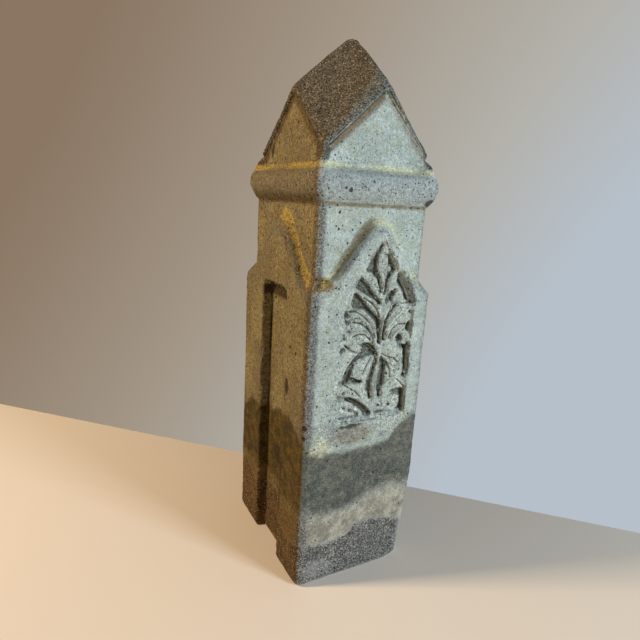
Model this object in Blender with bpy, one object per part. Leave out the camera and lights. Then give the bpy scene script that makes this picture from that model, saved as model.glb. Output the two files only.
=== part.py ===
"""Pier finial, cast in one piece: a slotted shaft with a leaf panel, a banded neck and a gabled cap.

Metres, +Z up. The origin is the middle of the foot, on the ground. The leaf panel faces -Y,
and the slots that hold the edging slabs are in the -X and +X faces.
"""
import math

import bmesh
import bpy
from mathutils import Vector

# Body: the lower shaft, up to its wavy shoulder
BODY_WIDTH = 0.1406
BODY_DEPTH = 0.1738
BODY_ARRIS = 0.0076
FOOT_WEAR = 0.0035
WAVE_VALLEY_Z = 0.3110
WAVE_RISE = 0.0630
WAVE_WEATHERING = 0.0115
WAVE_EDGE_ROUND = 0.0018

# Neck: the upper shaft, set back from the body on every face
NECK_SETBACK = 0.0091
NECK_ARRIS = 0.0056
NECK_TOP_Z = 0.3955

# Band: a chamfered and rounded collar on the neck
BAND_PROJECTION = 0.0086
BAND_HEIGHT = 0.0315
BAND_ARRIS = 0.0090

# Feet of the verges: the worn lumps that rise from the band at the cap's four corners
VERGE_FOOT_REACH = 0.0045
VERGE_FOOT_RISE = 0.0070
VERGE_FOOT_WIDTH = 0.12

# Cap: four gables under a four-faced helm roof
GABLE_SETBACK = 0.0058
GABLE_VALLEY_Z = 0.4400
GABLE_POINT_Z = 0.4990
VERGE_HEIGHT = 0.0078
VERGE_SETBACK = 0.0030
VERGE_LEAN = 0.0016
CAP_ARRIS = 0.0040
APEX_Z = 0.5600
APEX_WEAR = 0.0030
APEX_BLUNT = 0.10
RIDGE_OFFSET_X = 0.0050
RIDGE_OFFSET_Y = -0.0040
ROOF_CROWN = 0.0012

# Slots for the edging slabs, in both side faces, open at the foot
SLOT_WIDTH = 0.0600
SLOT_DEPTH = 0.0115
SLOT_TOP_Z = 0.3110
SLOT_OFFSET_Y = -0.0020
SLOT_CORNER = 0.0100

# Sunk pointed panels, one with the foliage in the front face and a plain one in the back
PANEL_WIDTH = 0.0820
PANEL_OFFSET_X = 0.0070
PANEL_FOOT_Z = 0.1810
PANEL_SPRING_Z = 0.2850
PANEL_POINT_Z = 0.3670
PANEL_ARCH_RADIUS = 0.0620
PANEL_DEPTH = 0.0070
PANEL_DRAFT = 0.0016
BACK_PANEL_DEPTH = 0.0030

# Foliage: drawn on a panel of this size, and fitted to the real panel by its two shares
DRAWN_WIDTH = 82.0
DRAWN_HEIGHT = 186.0
FOLIAGE_OFFSET_X = 0.0020
FOLIAGE_OFFSET_Z = -0.0008
LEAF_RELIEF = 0.0066
LEAF_BURY = 0.0020
LEAF_RIM_SHARE = 0.62
LEAF_CROWN_SHARE = 0.55
LEAF_PIT_SHARE = 0.85

# Corners knocked off at the foot: (corner along X, corner along Y) and the reach along X, Y and Z
FOOT_BREAKS = {
    "right_front_spall": ((1, -1), (0.0155, 0.0170, 0.1500)),
    "right_front_chip": ((1, -1), (0.0330, 0.0240, 0.0130)),
    "left_back_chip": ((-1, 1), (0.0110, 0.0130, 0.0100)),
}
BREAK_GROWTH = 1.6

FACE_STEPS = 18
ARRIS_STEPS = 4
SLOT_CORNER_STEPS = 5
ARCH_STEPS = 6
PIT_STEPS = 10
CUT_CLEARANCE = 0.010


def remove_everything():
    for item in list(bpy.data.objects):
        bpy.data.objects.remove(item, do_unlink=True)


def stone_material():
    material = bpy.data.materials.new("cast_stone")
    material.use_nodes = True
    shader = material.node_tree.nodes["Principled BSDF"]
    shader.inputs["Base Color"].default_value = (0.36, 0.35, 0.29, 1.0)
    shader.inputs["Roughness"].default_value = 0.92
    shader.inputs["Metallic"].default_value = 0.0
    return material


def link_mesh(name, mesh_data):
    mesh = bpy.data.meshes.new(name)
    bmesh.ops.recalc_face_normals(mesh_data, faces=mesh_data.faces)
    mesh_data.to_mesh(mesh)
    mesh_data.free()
    item = bpy.data.objects.new(name, mesh)
    bpy.context.scene.collection.objects.link(item)
    return item


def plan_samples():
    """Walk once round the plan, anticlockwise from the near left corner.

    Each sample is (side, share, turn): on a face, side is its number and share runs from 0 to 1
    along it; on an arris, share is None and turn runs from 0 to 1 round the corner after the side.
    """
    samples = []
    for side in range(4):
        samples += [(side, step / FACE_STEPS, None) for step in range(FACE_STEPS + 1)]
        samples += [(side, None, step / ARRIS_STEPS) for step in range(1, ARRIS_STEPS)]
    return samples


def plan_point(sample, half_x, half_y, arris):
    """A point on a rounded rectangle. Sides 0 to 3 face -Y, +X, +Y and -X."""
    side, share, turn = sample
    along_half = (half_x, half_y)[side % 2] - arris
    out_half = (half_y, half_x)[side % 2] - arris
    if share is not None:
        along = along_half * (2.0 * share - 1.0)
        out = out_half + arris
    else:
        angle = turn * math.pi / 2.0
        along = along_half + arris * math.sin(angle)
        out = out_half + arris * math.cos(angle)
    return [(along, -out), (out, along), (-along, out), (-out, -along)][side]


def peak_share(sample):
    """0 at the arrises, 1 under the gable point of the side, which stands off the face's middle."""
    side, share, _ = sample
    if share is None:
        return 0.0
    half = (BODY_WIDTH, BODY_DEPTH)[side % 2] / 2.0
    offset = (RIDGE_OFFSET_X, RIDGE_OFFSET_Y, -RIDGE_OFFSET_X, -RIDGE_OFFSET_Y)[side]
    peak = 0.5 + 0.5 * offset / half
    return share / peak if share < peak else (1.0 - share) / (1.0 - peak)


def wave_share(sample):
    return 0.5 - 0.5 * math.cos(math.pi * peak_share(sample))


def corner_share(sample):
    """1 on the arrises, falling to 0 a little way along each face."""
    _, share, _ = sample
    if share is None:
        return 1.0
    away = min(share, 1.0 - share) / VERGE_FOOT_WIDTH
    return max(0.0, 1.0 - away) ** 2


def body_rings():
    """Rings from the foot to the band's top: (setback from the body's face, arris, height)."""
    def wave(rise_above):
        return lambda sample: WAVE_VALLEY_Z + WAVE_RISE * wave_share(sample) + rise_above

    def level(height):
        return lambda sample: height

    rings = [
        (FOOT_WEAR, BODY_ARRIS, level(0.0)),
        (FOOT_WEAR * 0.3, BODY_ARRIS, level(FOOT_WEAR * 0.4)),
        (0.0, BODY_ARRIS, level(FOOT_WEAR * 1.4)),
        (0.0, BODY_ARRIS, wave(-WAVE_EDGE_ROUND)),
        (WAVE_EDGE_ROUND * 0.35, BODY_ARRIS, wave(-WAVE_EDGE_ROUND * 0.3)),
        (WAVE_EDGE_ROUND, BODY_ARRIS, wave(WAVE_EDGE_ROUND * 0.6)),
        (NECK_SETBACK, NECK_ARRIS, wave(WAVE_WEATHERING)),
        (NECK_SETBACK, NECK_ARRIS, level(NECK_TOP_Z)),
    ]
    # Band profile: (share of the projection, share of the height)
    profile = [(0.26, 0.06), (0.78, 0.29), (0.99, 0.46), (1.0, 0.72), (0.84, 0.86)]
    for projection, height in profile:
        setback = NECK_SETBACK - projection * BAND_PROJECTION
        arris = NECK_ARRIS + projection * (BAND_ARRIS - NECK_ARRIS)
        rings.append((setback, arris, level(NECK_TOP_Z + height * BAND_HEIGHT)))
    return rings


def gable_line(rise_above):
    def height(sample):
        return GABLE_VALLEY_Z + (GABLE_POINT_Z - GABLE_VALLEY_Z) * peak_share(sample) + rise_above
    return height


def foot_of_verge(setback, height, fullness):
    """A ring at the gable walls' foot, drawn out and lifted at the four corners."""
    def setback_at(sample):
        return setback - VERGE_FOOT_REACH * fullness * corner_share(sample)

    def height_at(sample):
        return height + VERGE_FOOT_RISE * fullness * corner_share(sample)
    return setback_at, CAP_ARRIS, height_at


def cap_rings():
    """The band's top slope, the gable walls and the verges' edge over them."""
    band_top = NECK_TOP_Z + BAND_HEIGHT
    wall = NECK_SETBACK + GABLE_SETBACK
    verge = NECK_SETBACK + VERGE_SETBACK

    def wall_at(sample):
        return wall - (wall - verge) * corner_share(sample)
    return [
        foot_of_verge(NECK_SETBACK - BAND_PROJECTION * 0.30, band_top - BAND_HEIGHT * 0.03, 0.25),
        foot_of_verge(NECK_SETBACK + GABLE_SETBACK * 0.6, band_top + BAND_HEIGHT * 0.05, 1.0),
        (wall_at, CAP_ARRIS, gable_line(0.0)),
        (verge + VERGE_LEAN, CAP_ARRIS, gable_line(VERGE_HEIGHT * 0.15)),
        (verge, CAP_ARRIS, gable_line(VERGE_HEIGHT * 0.40)),
        (verge, CAP_ARRIS, gable_line(VERGE_HEIGHT * 0.80)),
    ]


def roof_rings(edge):
    """Rings that run from the verges' edge to the blunt apex, swelling a little between."""
    apex = Vector((RIDGE_OFFSET_X, RIDGE_OFFSET_Y, APEX_Z))
    shares = [0.035, 0.28, 0.55, 0.80, 1.0 - APEX_BLUNT]
    rings = []
    for share in shares:
        swell = ROOF_CROWN * math.sin(math.pi * share)
        ring = []
        for point in edge:
            lifted = point + Vector((0.0, 0.0, VERGE_HEIGHT * 0.20))
            spot = lifted.lerp(apex, share)
            spot.z += swell
            ring.append(spot)
        rings.append(ring)
    return rings


def shaft_and_cap():
    samples = plan_samples()
    levels = []
    for setback, arris, height in body_rings() + cap_rings():
        level = []
        for sample in samples:
            inset = setback(sample) if callable(setback) else setback
            x, y = plan_point(sample, BODY_WIDTH / 2.0 - inset, BODY_DEPTH / 2.0 - inset, arris)
            level.append(Vector((x, y, height(sample))))
        levels.append(level)
    levels += roof_rings(levels[-1])

    mesh_data = bmesh.new()
    rings = [[mesh_data.verts.new(point) for point in level] for level in levels]
    for low, high in zip(rings, rings[1:]):
        for index in range(len(low)):
            after = (index + 1) % len(low)
            mesh_data.faces.new((low[index], low[after], high[after], high[index]))
    mesh_data.faces.new(list(reversed(rings[0])))
    tip = mesh_data.verts.new((RIDGE_OFFSET_X, RIDGE_OFFSET_Y, APEX_Z - APEX_WEAR))
    top = rings[-1]
    for index in range(len(top)):
        mesh_data.faces.new((top[index], top[(index + 1) % len(top)], tip))
    return link_mesh("pier_finial", mesh_data)


def prism(name, outline, near, far, shrink=0.0):
    """A closed prism between two faces along Y. The far face is smaller by shrink all round."""
    middle_x = sum(x for x, _ in outline) / len(outline)
    middle_z = sum(z for _, z in outline) / len(outline)

    def drawn_in(x, z):
        reach = math.hypot(x - middle_x, z - middle_z)
        keep = 1.0 - shrink / reach
        return middle_x + (x - middle_x) * keep, middle_z + (z - middle_z) * keep

    mesh_data = bmesh.new()
    front = [mesh_data.verts.new((x, near, z)) for x, z in outline]
    back = []
    for x, z in outline:
        inner_x, inner_z = drawn_in(x, z)
        back.append(mesh_data.verts.new((inner_x, far, inner_z)))
    mesh_data.faces.new(front)
    mesh_data.faces.new(list(reversed(back)))
    for index in range(len(outline)):
        after = (index + 1) % len(outline)
        mesh_data.faces.new((front[index], back[index], back[after], front[after]))
    return link_mesh(name, mesh_data)


def hide_cutter(cutter):
    cutter.hide_render = True
    cutter.display_type = "WIRE"


def cut(target, cutter):
    hide_cutter(cutter)
    modifier = target.modifiers.new("cut_" + cutter.name, "BOOLEAN")
    modifier.operation = "DIFFERENCE"
    modifier.solver = "EXACT"
    modifier.object = cutter


def add(target, piece):
    """Unite a piece whose own closed shells may overlap each other."""
    hide_cutter(piece)
    modifier = target.modifiers.new("add_" + piece.name, "BOOLEAN")
    modifier.operation = "UNION"
    modifier.solver = "EXACT"
    modifier.use_self = True
    modifier.object = piece


def break_cutter(name, corner, reach):
    """A wedge whose inner face crosses the corner's three edges at their reach.

    It is grown about the middle of that face, so the face keeps its plane.
    """
    tip = Vector((corner[0] * BODY_WIDTH / 2.0, corner[1] * BODY_DEPTH / 2.0, 0.0))
    ends = [
        tip - Vector((corner[0] * reach[0], 0.0, 0.0)),
        tip - Vector((0.0, corner[1] * reach[1], 0.0)),
        tip + Vector((0.0, 0.0, reach[2])),
    ]
    middle = (ends[0] + ends[1] + ends[2]) / 3.0
    mesh_data = bmesh.new()
    tip_vertex, *end_vertices = [
        mesh_data.verts.new(middle + (spot - middle) * BREAK_GROWTH) for spot in [tip] + ends
    ]
    mesh_data.faces.new(end_vertices)
    for index in range(3):
        mesh_data.faces.new((tip_vertex, end_vertices[index], end_vertices[(index + 1) % 3]))
    return link_mesh(name, mesh_data)


def slot_cutter(name, side):
    """A slot seen from the side: straight walls, a level top and rounded top corners."""
    half = SLOT_WIDTH / 2.0
    outline = [(-half, -CUT_CLEARANCE), (half, -CUT_CLEARANCE)]
    for corner, start in ((1.0, 0.0), (-1.0, 90.0)):
        for step in range(SLOT_CORNER_STEPS + 1):
            angle = math.radians(start + 90.0 * step / SLOT_CORNER_STEPS)
            along = corner * (half - SLOT_CORNER) + SLOT_CORNER * math.cos(angle)
            up = SLOT_TOP_Z - SLOT_CORNER + SLOT_CORNER * math.sin(angle)
            outline.append((along, up))
    floor = BODY_WIDTH / 2.0 - SLOT_DEPTH
    mouth = BODY_WIDTH / 2.0 + CUT_CLEARANCE
    mesh_data = bmesh.new()
    inner = [mesh_data.verts.new((side * floor, y + SLOT_OFFSET_Y, z)) for y, z in outline]
    outer = [mesh_data.verts.new((side * mouth, y + SLOT_OFFSET_Y, z)) for y, z in outline]
    mesh_data.faces.new(inner)
    mesh_data.faces.new(list(reversed(outer)))
    for index in range(len(outline)):
        after = (index + 1) % len(outline)
        mesh_data.faces.new((inner[index], outer[index], outer[after], inner[after]))
    return link_mesh(name, mesh_data)


def panel_outline():
    """A pointed arch: straight jambs, an arc on each side, and straight haunches up to the point."""
    half = PANEL_WIDTH / 2.0
    rise = PANEL_POINT_Z - PANEL_SPRING_Z
    inward = PANEL_ARCH_RADIUS - half
    turn = math.asin(PANEL_ARCH_RADIUS / math.hypot(rise, inward)) - math.atan2(inward, rise)
    right = [(half, PANEL_FOOT_Z)]
    for step in range(ARCH_STEPS + 1):
        angle = turn * step / ARCH_STEPS
        x = PANEL_ARCH_RADIUS * math.cos(angle) - inward
        right.append((x, PANEL_SPRING_Z + PANEL_ARCH_RADIUS * math.sin(angle)))
    left = [(-x, z) for x, z in reversed(right)]
    outline = right + [(0.0, PANEL_POINT_Z)] + left
    return [(x + PANEL_OFFSET_X, z) for x, z in outline]


def panel_cutter(name, face, depth):
    """face is -1 for the front and 1 for the back, whose panel is the front's, seen in a mirror."""
    surface = face * BODY_DEPTH / 2.0
    outline = panel_outline()
    slope = PANEL_DRAFT * CUT_CLEARANCE / depth
    middle_x = PANEL_OFFSET_X
    wide = [(middle_x + (x - middle_x) * (1.0 + 2.0 * slope / PANEL_WIDTH), z) for x, z in outline]
    near = surface + face * CUT_CLEARANCE
    far = surface - face * depth
    return prism(name, wide, near, far, PANEL_DRAFT + slope)


def drawn_point(x, z):
    """From the drawing, in its own units from the panel's middle and foot, to the panel."""
    across = PANEL_OFFSET_X + FOLIAGE_OFFSET_X + x * PANEL_WIDTH / DRAWN_WIDTH
    up = PANEL_FOOT_Z + FOLIAGE_OFFSET_Z + z * (PANEL_POINT_Z - PANEL_FOOT_Z) / DRAWN_HEIGHT
    return Vector((across, 0.0, up))


def leaf(mesh_data, stations):
    """A lobe raised from the panel's floor: (x, z, half width, height) along its rib.

    The sides stand up to a rim, and two slopes rise from the rims to the rib.
    """
    floor = -BODY_DEPTH / 2.0 + PANEL_DEPTH
    unit = PANEL_WIDTH / DRAWN_WIDTH
    ribs = [drawn_point(x, z) for x, z, _, _ in stations]
    rings = []
    for index, (_, _, half, height) in enumerate(stations):
        before = ribs[max(index - 1, 0)]
        after = ribs[min(index + 1, len(ribs) - 1)]
        along = (after - before).normalized()
        across = Vector((along.z, 0.0, -along.x)) * half * unit
        rib = ribs[index]
        top = height * LEAF_RELIEF
        section = [
            (rib - across, -LEAF_BURY),
            (rib - across, top * LEAF_RIM_SHARE),
            (rib - across * LEAF_CROWN_SHARE, top * 0.93),
            (rib, top),
            (rib + across * LEAF_CROWN_SHARE, top * 0.93),
            (rib + across, top * LEAF_RIM_SHARE),
            (rib + across, -LEAF_BURY),
        ]
        rings.append([mesh_data.verts.new((spot.x, floor - lift, spot.z)) for spot, lift in section])
    for low, high in zip(rings, rings[1:]):
        for index in range(len(low)):
            beside = (index + 1) % len(low)
            mesh_data.faces.new((low[index], low[beside], high[beside], high[index]))
    mesh_data.faces.new(rings[0])
    mesh_data.faces.new(list(reversed(rings[-1])))


def foliage():
    """Every lobe in one mesh, each a closed shell that overlaps its neighbours."""
    mesh_data = bmesh.new()
    for stations in FOLIAGE.values():
        leaf(mesh_data, stations)
    return link_mesh("foliage", mesh_data)


# The foliage, from the stem's foot to the bud. Each station is (x, z, half width, height share),
# x from the panel's middle and z from its foot in the drawing's units.
FOLIAGE = {
    "stem": [(1.5, 1, 4, 0.75), (2, 12, 4, 0.85), (2.5, 24, 3.8, 0.8), (1.5, 37, 4.6, 0.8),
             (3, 49, 3.2, 0.8), (4, 62, 2.6, 0.85), (4, 72, 3.2, 0.9), (4.5, 86, 3, 0.95),
             (5, 100, 2.4, 0.95), (4.5, 114, 2.8, 0.95), (3.5, 127, 2.3, 0.9), (2.5, 138, 1.8, 0.8)],
    "bud": [(2.5, 133, 1.6, 0.75), (1.5, 141, 3.2, 0.85), (0, 151, 5.8, 0.97), (-0.5, 161, 6.2, 1.0),
            (-0.5, 171, 5, 1.0), (-0.5, 180, 2.6, 0.95), (0, 186, 0.9, 0.85)],
    "left_lobe_1": [(2, 122, 1.5, 0.8), (-2.5, 130, 2.8, 0.85), (-6.5, 137, 4.2, 0.95),
                    (-10.5, 143.5, 5.4, 1.0), (-16, 148.5, 5.5, 1.0), (-22, 151.5, 4.5, 1.0),
                    (-30, 155, 2, 1.0)],
    "left_lobe_2": [(4, 105, 1.5, 0.8), (1, 111, 3.5, 0.9), (-4, 117, 5, 0.95),
                    (-10, 122, 4.6, 0.95), (-16, 126.5, 3.2, 0.97), (-22, 131, 2, 1.0),
                    (-31, 137.5, 1.2, 1.0)],
    "left_shoulder": [(-41, 116, 9, 1.0), (-39.5, 127, 8.5, 1.0), (-33, 138, 6, 1.0)],
    "left_leaf_3": [(0, 77, 1.5, 0.85), (-4, 86, 4, 0.9), (-7.5, 94, 7, 0.97), (-13, 101, 9.5, 1.0),
                    (-20, 106, 10.5, 1.0), (-29, 108, 10, 1.0), (-40, 108, 9, 1.0)],
    "left_leaf_3_heart": [(-5, 86, 3.5, 0.85), (-12, 94, 6, 0.92), (-22, 97, 7, 0.95),
                          (-32, 98, 8, 0.97), (-46, 98, 8, 1.0)],
    "left_leaf_3_curl": [(-1.5, 73, 1.5, 0.8), (-5, 80, 3, 0.9), (-10, 85, 5, 1.04),
                         (-16, 88, 6.5, 1.04), (-25, 88, 6.2, 1.02), (-34, 86, 6.5, 1.0),
                         (-46, 84, 6.5, 1.0)],
    "left_leaf_3_wing": [(-17, 77, 5, 0.92), (-25, 74, 9, 0.97), (-34, 66, 10, 1.0),
                         (-40, 56, 8, 1.0), (-43, 45, 7, 1.0)],
    "left_leaf_4": [(-2, 67, 2, 0.9), (-8, 63, 7.5, 0.97), (-13, 57, 11, 1.0), (-17, 48, 11, 1.0),
                    (-18, 39, 11, 1.0), (-18, 31, 9.5, 0.97)],
    "left_leaf_5": [(-1, 8, 2, 0.8), (-4, 15, 4, 0.9), (-9, 23, 6.5, 0.97), (-16, 29, 8, 1.0),
                    (-24, 32.5, 7.5, 1.0), (-33, 34, 7.5, 1.0), (-46, 35, 8, 1.0)],
    "left_apron": [(-9, 3.5, 1.5, 0.8), (-16, 8.5, 4, 0.9), (-24, 11.5, 7, 0.95),
                   (-31, 14, 10, 1.0), (-46, 16, 12, 1.0)],
    "right_lobe_1": [(5, 128, 1.5, 0.8), (9, 135, 3.7, 0.9), (13, 144, 4.8, 1.0),
                     (16, 151, 3.6, 1.0), (19, 157, 1.2, 1.0)],
    "right_lobe_2": [(6, 106, 3, 0.85), (12, 117, 6, 0.9), (19, 123, 7, 0.97), (26, 122, 5, 1.0),
                     (32, 120, 3, 1.0)],
    "right_lobe_2_tip": [(26, 121, 4.5, 0.97), (22, 131, 5, 1.0), (15, 140, 4.5, 1.0)],
    "right_leaf_3": [(8, 81, 2, 0.9), (12, 91, 4, 0.97), (18, 101, 7.5, 1.0), (25, 110, 9.5, 1.0),
                     (33, 115, 7, 1.0), (38, 119, 3, 1.0)],
    "right_leaf_3_edge": [(17, 86, 5, 0.95), (24, 96, 9, 1.0), (31, 104, 8, 1.0), (35, 110, 5, 1.0)],
    "right_hook": [(10, 76, 3, 0.9), (14, 84, 4.5, 1.03), (21, 92, 3.8, 1.05), (30, 93, 3.8, 1.05),
                   (36, 86, 3.6, 1.03), (35, 77, 4, 1.0)],
    "right_hook_heart": [(8, 74, 4, 0.9), (17, 80, 8, 0.97), (27, 84, 8, 0.97), (34, 85, 5, 1.0)],
    "right_leaf_5": [(5, 73, 3, 0.9), (14, 71, 9, 1.0), (24, 66, 12, 1.0), (25, 55, 11.5, 1.0),
                     (25, 45, 11.5, 1.0), (24, 35, 11, 0.97)],
    "right_wing": [(4, 16, 2.5, 0.8), (11, 25, 5.5, 0.95), (20, 32, 7, 1.0), (30, 35, 7.5, 1.0),
                   (39, 34, 6, 1.0)],
    "right_foot": [(3, 9, 2.5, 0.8), (11, 13, 8.5, 0.9), (20, 14, 10.5, 0.95), (28, 13.5, 10, 0.95),
                   (34, 12.5, 8.5, 0.95)],
}

# Small hollows sunk in the leaves down to the panel's floor: (x, z, half width, half height, lean)
LEAF_PITS = {
    "left_eye": (-21, 42, 5.2, 2.4, -12.0),
    "right_eye": (27, 84, 4.2, 5.2, 15.0),
    "lobe_eye": (13.5, 129, 2.2, 6.5, -35.0),
}


def pit_cutter(name, pit):
    """An upright oval prism through the leaves' thickness, leaning by some degrees."""
    x, z, half_width, half_height, lean = pit
    outline = []
    for step in range(PIT_STEPS):
        angle = 2.0 * math.pi * step / PIT_STEPS
        across = half_width * math.cos(angle)
        up = half_height * math.sin(angle)
        tilt = math.radians(lean)
        spot = drawn_point(x + across * math.cos(tilt) - up * math.sin(tilt),
                           z + across * math.sin(tilt) + up * math.cos(tilt))
        outline.append((spot.x, spot.z))
    surface = -BODY_DEPTH / 2.0
    return prism(name, outline, surface - CUT_CLEARANCE, surface + PANEL_DEPTH * LEAF_PIT_SHARE)


remove_everything()
finial = shaft_and_cap()
finial.data.materials.append(stone_material())
cut(finial, slot_cutter("left_slot", -1))
cut(finial, slot_cutter("right_slot", 1))
cut(finial, panel_cutter("front_panel", -1, PANEL_DEPTH))
cut(finial, panel_cutter("back_panel", 1, BACK_PANEL_DEPTH))
add(finial, foliage())
for break_name, (break_corner, break_reach) in FOOT_BREAKS.items():
    cut(finial, break_cutter(break_name, break_corner, break_reach))
for pit_name, pit_sizes in LEAF_PITS.items():
    cut(finial, pit_cutter(pit_name, pit_sizes))
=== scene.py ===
import math

import bpy
import numpy as np
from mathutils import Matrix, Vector


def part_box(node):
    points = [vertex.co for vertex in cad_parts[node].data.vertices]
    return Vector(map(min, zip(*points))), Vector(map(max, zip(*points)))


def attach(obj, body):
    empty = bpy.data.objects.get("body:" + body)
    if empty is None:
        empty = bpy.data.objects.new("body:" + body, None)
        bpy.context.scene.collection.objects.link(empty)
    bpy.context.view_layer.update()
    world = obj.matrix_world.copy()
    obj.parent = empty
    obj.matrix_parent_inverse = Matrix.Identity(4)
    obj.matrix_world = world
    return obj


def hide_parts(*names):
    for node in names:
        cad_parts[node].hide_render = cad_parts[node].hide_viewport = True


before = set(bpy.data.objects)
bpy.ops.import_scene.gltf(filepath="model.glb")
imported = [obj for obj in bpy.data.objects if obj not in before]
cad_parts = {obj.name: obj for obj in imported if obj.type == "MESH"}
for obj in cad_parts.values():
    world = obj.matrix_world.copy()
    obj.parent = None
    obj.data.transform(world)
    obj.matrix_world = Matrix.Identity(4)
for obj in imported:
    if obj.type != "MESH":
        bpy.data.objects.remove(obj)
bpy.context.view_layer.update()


# The casting: one block of cast stone, sand and cement tamped into a mould, with the slots, the
# leaf panel and the gabled cap all in it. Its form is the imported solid's, remade in small even
# faces and a little softened, as the stone's arrises are.
CASTING_FACE = 0.0011
SOFTENING_PASSES = 4

high_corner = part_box("pier_finial")[1]
HALF_WIDTH = high_corner.x * 1000.0
HALF_DEPTH = high_corner.y * 1000.0

casting = bpy.data.objects.new("pier_finial_casting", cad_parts["pier_finial"].data.copy())
bpy.context.scene.collection.objects.link(casting)
bpy.ops.object.select_all(action="DESELECT")
bpy.context.view_layer.objects.active = casting
casting.select_set(True)
bpy.ops.object.mode_set(mode="EDIT")
bpy.ops.mesh.select_all(action="SELECT")
bpy.ops.mesh.remove_doubles(threshold=0.00001)
bpy.ops.object.mode_set(mode="OBJECT")
even_faces = casting.modifiers.new("even_faces", "REMESH")
even_faces.mode = "VOXEL"
even_faces.voxel_size = CASTING_FACE
bpy.ops.object.modifier_apply(modifier=even_faces.name)
softening = casting.modifiers.new("softening", "SMOOTH")
softening.factor = 0.5
softening.iterations = SOFTENING_PASSES
bpy.ops.object.modifier_apply(modifier=softening.name)


# The lines of the casting: the wavy shoulder, the gables and the stain lines all run round the
# block, so a place on it is told by its station. Station 0 is the near left arris, and each whole
# number is the next arris: front face 0 to 1, right 1 to 2, back 2 to 3, left 3 to 4.
PEAK_OFFSETS = (5.0 / HALF_WIDTH, -4.0 / HALF_DEPTH, -5.0 / HALF_WIDTH, 4.0 / HALF_DEPTH)
SHOULDER_VALLEY = 311.0
SHOULDER_RISE = 63.0
GABLE_VALLEY = 440.0
GABLE_RISE = 59.0


def ramp(value, low, high):
    """0 at low, 1 at high and smooth between. It falls instead where low is the greater."""
    share = np.clip((value - low) / (high - low), 0.0, 1.0)
    return share * share * (3.0 - 2.0 * share)


def stations_of(places):
    across = places[:, 0] / HALF_WIDTH
    deep = places[:, 1] / HALF_DEPTH
    wide = np.maximum(np.maximum(np.abs(across), np.abs(deep)), 0.001)
    on_front_or_back = np.abs(deep) >= np.abs(across)
    front = 0.5 + 0.5 * across / wide
    right = 1.5 + 0.5 * deep / wide
    back = 2.5 - 0.5 * across / wide
    left = 3.5 - 0.5 * deep / wide
    return np.where(on_front_or_back, np.where(deep < 0, front, back), np.where(across > 0, right, left))


def peak_share(stations):
    """0 on the arrises and 1 under the gable's point."""
    side = np.clip(stations.astype(int), 0, 3)
    share = stations - side
    peak = 0.5 + 0.5 * np.array(PEAK_OFFSETS)[side]
    return np.where(share < peak, share / peak, (1.0 - share) / (1.0 - peak))


def from_arris(stations):
    """Distance along the face to the nearest upright arris, in millimetres."""
    side = np.clip(stations.astype(int), 0, 3)
    share = stations - side
    face_width = np.array([2.0 * HALF_WIDTH, 2.0 * HALF_DEPTH, 2.0 * HALF_WIDTH, 2.0 * HALF_DEPTH])[side]
    return np.minimum(share, 1.0 - share) * face_width


def above_shoulder(places, stations):
    wave = 0.5 - 0.5 * np.cos(math.pi * peak_share(stations))
    return places[:, 2] - SHOULDER_VALLEY - SHOULDER_RISE * wave


def above_gable(places, stations):
    return places[:, 2] - GABLE_VALLEY - GABLE_RISE * peak_share(stations)


def lattice_noise(places, cell, seed):
    """Smooth noise from -1 to 1 whose humps are about one cell across, in millimetres."""
    low = places.min(axis=0) - cell
    counts = np.ceil((places.max(axis=0) - low) / cell).astype(int) + 3
    values = np.random.default_rng(seed).uniform(-1.0, 1.0, counts)
    spot = (places - low) / cell
    whole = spot.astype(int)
    share = spot - whole
    share = share * share * (3.0 - 2.0 * share)
    total = np.zeros(len(places))
    for corner in np.ndindex(2, 2, 2):
        weight = np.prod(np.where(corner, share, 1.0 - share), axis=1)
        total += weight * values[tuple((whole + corner).T)]
    return total


def read_places(mesh):
    places = np.empty(len(mesh.vertices) * 3)
    mesh.vertices.foreach_get("co", places)
    return places.reshape(-1, 3) * 1000.0


def read_normals(mesh):
    normals = np.empty(len(mesh.vertices) * 3)
    mesh.vertices.foreach_get("normal", normals)
    return normals.reshape(-1, 3)


def write_places(mesh, places):
    mesh.vertices.foreach_set("co", (places / 1000.0).ravel())
    mesh.update()


def neighbours_mean(mesh, values, passes):
    """Values spread to the neighbours so many times over, which averages a wider patch each time."""
    ends = np.empty(len(mesh.edges) * 2, dtype=np.int64)
    mesh.edges.foreach_get("vertices", ends)
    ends = ends.reshape(-1, 2)
    count = len(mesh.vertices)
    into = np.concatenate([ends[:, 0], ends[:, 1]])
    source = np.concatenate([ends[:, 1], ends[:, 0]])
    share = np.maximum(np.bincount(into, minlength=count), 1)
    spread = values.copy()
    for _ in range(passes):
        for column in range(spread.shape[1]):
            total = np.bincount(into, weights=spread[source, column], minlength=count)
            spread[:, column] = 0.5 * spread[:, column] + 0.5 * total / share
    return spread


def standing_out(mesh, passes):
    """How far each point stands out from the patch round it, in millimetres: hollows are negative."""
    places = read_places(mesh)
    mean = neighbours_mean(mesh, places, passes)
    return np.sum((places - mean) * read_normals(mesh), axis=1)


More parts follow.
